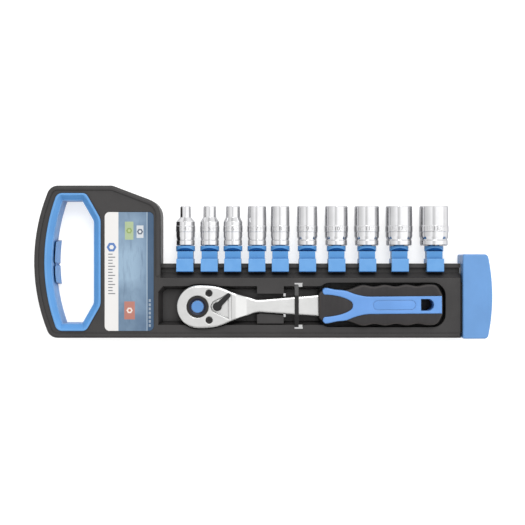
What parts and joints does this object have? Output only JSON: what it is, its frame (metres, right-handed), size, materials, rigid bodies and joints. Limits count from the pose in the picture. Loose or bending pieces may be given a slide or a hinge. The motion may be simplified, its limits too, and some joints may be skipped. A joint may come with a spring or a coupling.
{
  "type": "socket wrench set in a carrying tray",
  "caption": "Quarter inch drive socket set: chrome sockets on sliding clips along the rail of a black carrying tray with a blue hand opening, and a reversible ratchet strapped in its pocket.",
  "frame": {"origin": "middle of the footprint, on the surface the tray's back lies on", "axes": "+X from the carrying handle to the end cap, +Y towards the sockets, +Z out of the tray's face"},
  "size_m": [0.287, 0.096, 0.025],
  "materials": {
    "tray_black": "fine moulded texture, satin edges",
    "insert_blue": "satin moulded polypropylene",
    "clip_blue": "satin moulded polypropylene",
    "label_print": "printed card under clear film",
    "chrome": "polished chrome plate with a knurled band",
    "satin_steel": "satin chrome face with polished edges",
    "black_steel": "black oxide",
    "button_blue": "smooth moulded",
    "lever_black": "satin moulded",
    "gear_steel": "ground and oiled",
    "spring_steel": "drawn wire",
    "grip_blue": "smooth moulded polypropylene",
    "grip_black": "soft moulded elastomer",
    "strap_black": "nylon with a slight sheen"
  },
  "bodies": {
    "tray": {"tray_body": "tray_black", "handle_insert": "insert_blue", "label_card": "label_print"},
    "end_cap": {"end_cap": "clip_blue"},
    "strap": {"strap": "strap_black"},
    "ratchet": {"ratchet_body": "satin_steel", "head_cover": "satin_steel", "cover_screws": "black_steel", "grip_core": "grip_blue", "grip_rubber": "grip_black"},
    "drive": {"drive_gear": "gear_steel", "gear_collar": "black_steel"},
    "button": {"release_button": "button_blue", "release_pin": "gear_steel", "button_spring": "spring_steel"},
    "ball": {"detent_ball": "gear_steel"},
    "lever": {"lever": "lever_black", "lever_plunger": "gear_steel", "plunger_spring": "spring_steel"},
    "pawl": {"pawl": "gear_steel"},
    "clip_04mm": {"clip_04mm": "clip_blue"},
    "socket_04mm": {"socket_04mm": "chrome"},
    "clip_05mm": {"clip_05mm": "clip_blue"},
    "socket_05mm": {"socket_05mm": "chrome"},
    "clip_06mm": {"clip_06mm": "clip_blue"},
    "socket_06mm": {"socket_06mm": "chrome"},
    "clip_07mm": {"clip_07mm": "clip_blue"},
    "socket_07mm": {"socket_07mm": "chrome"},
    "clip_08mm": {"clip_08mm": "clip_blue"},
    "socket_08mm": {"socket_08mm": "chrome"},
    "clip_09mm": {"clip_09mm": "clip_blue"},
    "socket_09mm": {"socket_09mm": "chrome"},
    "clip_10mm": {"clip_10mm": "clip_blue"},
    "socket_10mm": {"socket_10mm": "chrome"},
    "clip_11mm": {"clip_11mm": "clip_blue"},
    "socket_11mm": {"socket_11mm": "chrome"},
    "clip_12mm": {"clip_12mm": "clip_blue"},
    "socket_12mm": {"socket_12mm": "chrome"},
    "clip_13mm": {"clip_13mm": "clip_blue"},
    "socket_13mm": {"socket_13mm": "chrome"}
  },
  "joints": [
    {"name": "end_cap_pull", "type": "slide", "parent": "tray", "child": "end_cap", "axis": [1, 0, 0], "range_m": [0, 0.02]},
    {"name": "strap_lift", "type": "slide", "parent": "tray", "child": "strap", "axis": [0, 0, 1], "range_m": [0, 0.06]},
    {"name": "ratchet_lift", "type": "slide", "parent": "tray", "child": "ratchet", "axis": [0, 0, 1], "range_m": [0, 0.03]},
    {"name": "drive_spin", "type": "hinge", "parent": "ratchet", "child": "drive", "pos_m": [-0.0408, -0.0279, 0.0224], "axis": [0, 0, 1], "continuous": true},
    {"name": "button_press", "type": "slide", "parent": "drive", "child": "button", "axis": [0, 0, -1], "range_m": [0, 0.0015], "stiffness_N_per_m": 600, "springref_m": -0.001, "deforming": ["button_spring"]},
    {"name": "ball_retract", "type": "slide", "parent": "drive", "child": "ball", "axis": [-1, -0.0087, 0], "range_m": [0, 0.0005]},
    {"name": "lever_turn", "type": "hinge", "parent": "ratchet", "child": "lever", "pos_m": [-0.0285, -0.02779, 0.0224], "axis": [0, 0, 1], "range_deg": [-89, 0]},
    {"name": "pawl_rock", "type": "hinge", "parent": "ratchet", "child": "pawl", "pos_m": [-0.0285, -0.02779, 0.0164], "axis": [0, 0, 1], "range_deg": [-5, 0]},
    {"name": "slide_04mm", "type": "slide", "parent": "tray", "child": "clip_04mm", "axis": [1, 0, 0], "range_m": [-0.0072, 0.0028]},
    {"name": "pull_04mm", "type": "slide", "parent": "clip_04mm", "child": "socket_04mm", "axis": [0, 1, 0], "range_m": [0, 0.03]},
    {"name": "slide_05mm", "type": "slide", "parent": "tray", "child": "clip_05mm", "axis": [1, 0, 0], "range_m": [-0.0028, 0.0022]},
    {"name": "pull_05mm", "type": "slide", "parent": "clip_05mm", "child": "socket_05mm", "axis": [0, 1, 0], "range_m": [0, 0.03]},
    {"name": "slide_06mm", "type": "slide", "parent": "tray", "child": "clip_06mm", "axis": [1, 0, 0], "range_m": [-0.0022, 0.0027]},
    {"name": "pull_06mm", "type": "slide", "parent": "clip_06mm", "child": "socket_06mm", "axis": [0, 1, 0], "range_m": [0, 0.03]},
    {"name": "slide_07mm", "type": "slide", "parent": "tray", "child": "clip_07mm", "axis": [1, 0, 0], "range_m": [-0.0027, 0.0022]},
    {"name": "pull_07mm", "type": "slide", "parent": "clip_07mm", "child": "socket_07mm", "axis": [0, 1, 0], "range_m": [0, 0.03]},
    {"name": "slide_08mm", "type": "slide", "parent": "tray", "child": "clip_08mm", "axis": [1, 0, 0], "range_m": [-0.0022, 0.00405]},
    {"name": "pull_08mm", "type": "slide", "parent": "clip_08mm", "child": "socket_08mm", "axis": [0, 1, 0], "range_m": [0, 0.03]},
    {"name": "slide_09mm", "type": "slide", "parent": "tray", "child": "clip_09mm", "axis": [1, 0, 0], "range_m": [-0.00405, 0.004]},
    {"name": "pull_09mm", "type": "slide", "parent": "clip_09mm", "child": "socket_09mm", "axis": [0, 1, 0], "range_m": [0, 0.03]},
    {"name": "slide_10mm", "type": "slide", "parent": "tray", "child": "clip_10mm", "axis": [1, 0, 0], "range_m": [-0.004, 0.00355]},
    {"name": "pull_10mm", "type": "slide", "parent": "clip_10mm", "child": "socket_10mm", "axis": [0, 1, 0], "range_m": [0, 0.03]},
    {"name": "slide_11mm", "type": "slide", "parent": "tray", "child": "clip_11mm", "axis": [1, 0, 0], "range_m": [-0.00355, 0.0035]},
    {"name": "pull_11mm", "type": "slide", "parent": "clip_11mm", "child": "socket_11mm", "axis": [0, 1, 0], "range_m": [0, 0.03]},
    {"name": "slide_12mm", "type": "slide", "parent": "tray", "child": "clip_12mm", "axis": [1, 0, 0], "range_m": [-0.0035, 0.0039]},
    {"name": "pull_12mm", "type": "slide", "parent": "clip_12mm", "child": "socket_12mm", "axis": [0, 1, 0], "range_m": [0, 0.03]},
    {"name": "slide_13mm", "type": "slide", "parent": "tray", "child": "clip_13mm", "axis": [1, 0, 0], "range_m": [-0.0039, 0.0111]},
    {"name": "pull_13mm", "type": "slide", "parent": "clip_13mm", "child": "socket_13mm", "axis": [0, 1, 0], "range_m": [0, 0.03]}
  ],
  "couplings": [
    {"joint": "ratchet_lift", "follows": "strap_lift", "ratio": 0.5},
    {"joint": "ball_retract", "follows": "button_press", "ratio": 0.33333},
    {"joint": "pawl_rock", "follows": "lever_turn", "ratio": 0.05618}
  ]
}
